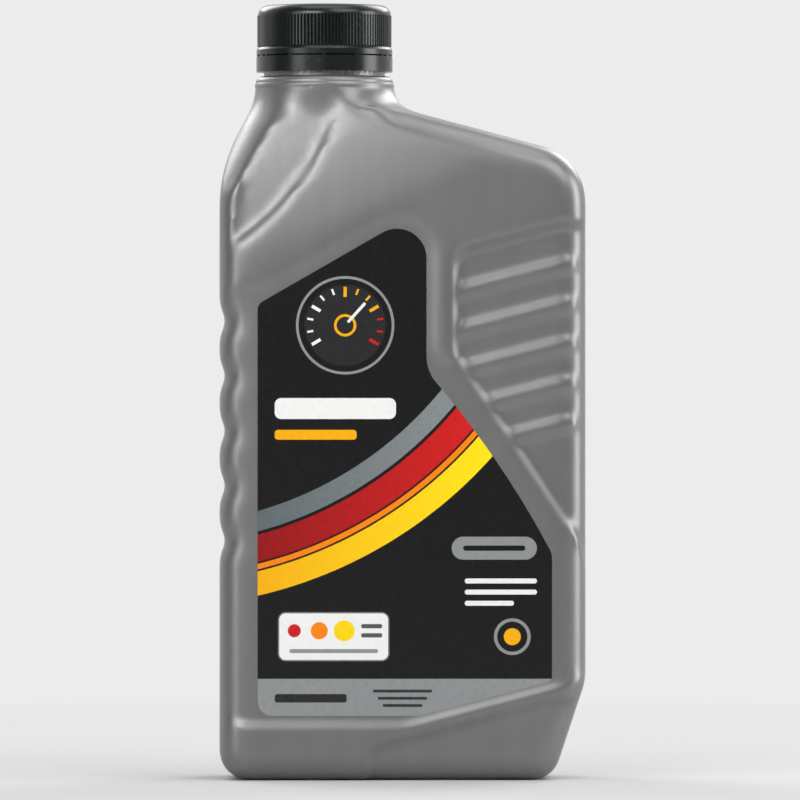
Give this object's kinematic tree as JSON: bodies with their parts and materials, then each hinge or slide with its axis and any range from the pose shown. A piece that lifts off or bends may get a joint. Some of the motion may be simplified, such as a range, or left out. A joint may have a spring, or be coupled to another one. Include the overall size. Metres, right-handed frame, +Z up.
{
  "type": "motor oil bottle",
  "caption": "Offset-neck motor oil bottle with a ribbed hand grip, a screw cap that unscrews, a tamper band, a front label and its fill of oil.",
  "frame": {"origin": "centre of the body's bounding box at the level that the bottle stands on", "axes": "+Z up along the neck's axis, -Y towards the labelled front, +X towards the hand grip, away from the neck"},
  "size_m": [0.112, 0.051, 0.2375],
  "materials": {
    "bottle": "satin, metallic grey polyethylene",
    "cap": "near-black moulded polypropylene",
    "cap_liner": "white foamed disc",
    "tamper_band": "near-black moulded polypropylene",
    "front_label": "glossy printed film",
    "motor_oil": "amber liquid"
  },
  "bodies": {
    "bottle": {"bottle": "bottle", "tamper_band": "tamper_band", "front_label": "front_label", "motor_oil": "motor_oil"},
    "cap_liner": {"cap_liner": "cap_liner"},
    "cap": {"cap": "cap"}
  },
  "joints": [
    {"name": "cap_rise", "type": "slide", "parent": "bottle", "child": "cap_liner", "axis": [0, 0, 1], "range_m": [0, 0.0169]},
    {"name": "cap_turn", "type": "hinge", "parent": "cap_liner", "child": "cap", "pos_m": [-0.024, 0, 0.2222], "axis": [0, 0, 1], "range_deg": [0, 1440]}
  ],
  "couplings": [
    {"joint": "cap_rise", "follows": "cap_turn", "m_per_rad": 0.00066845}
  ]
}
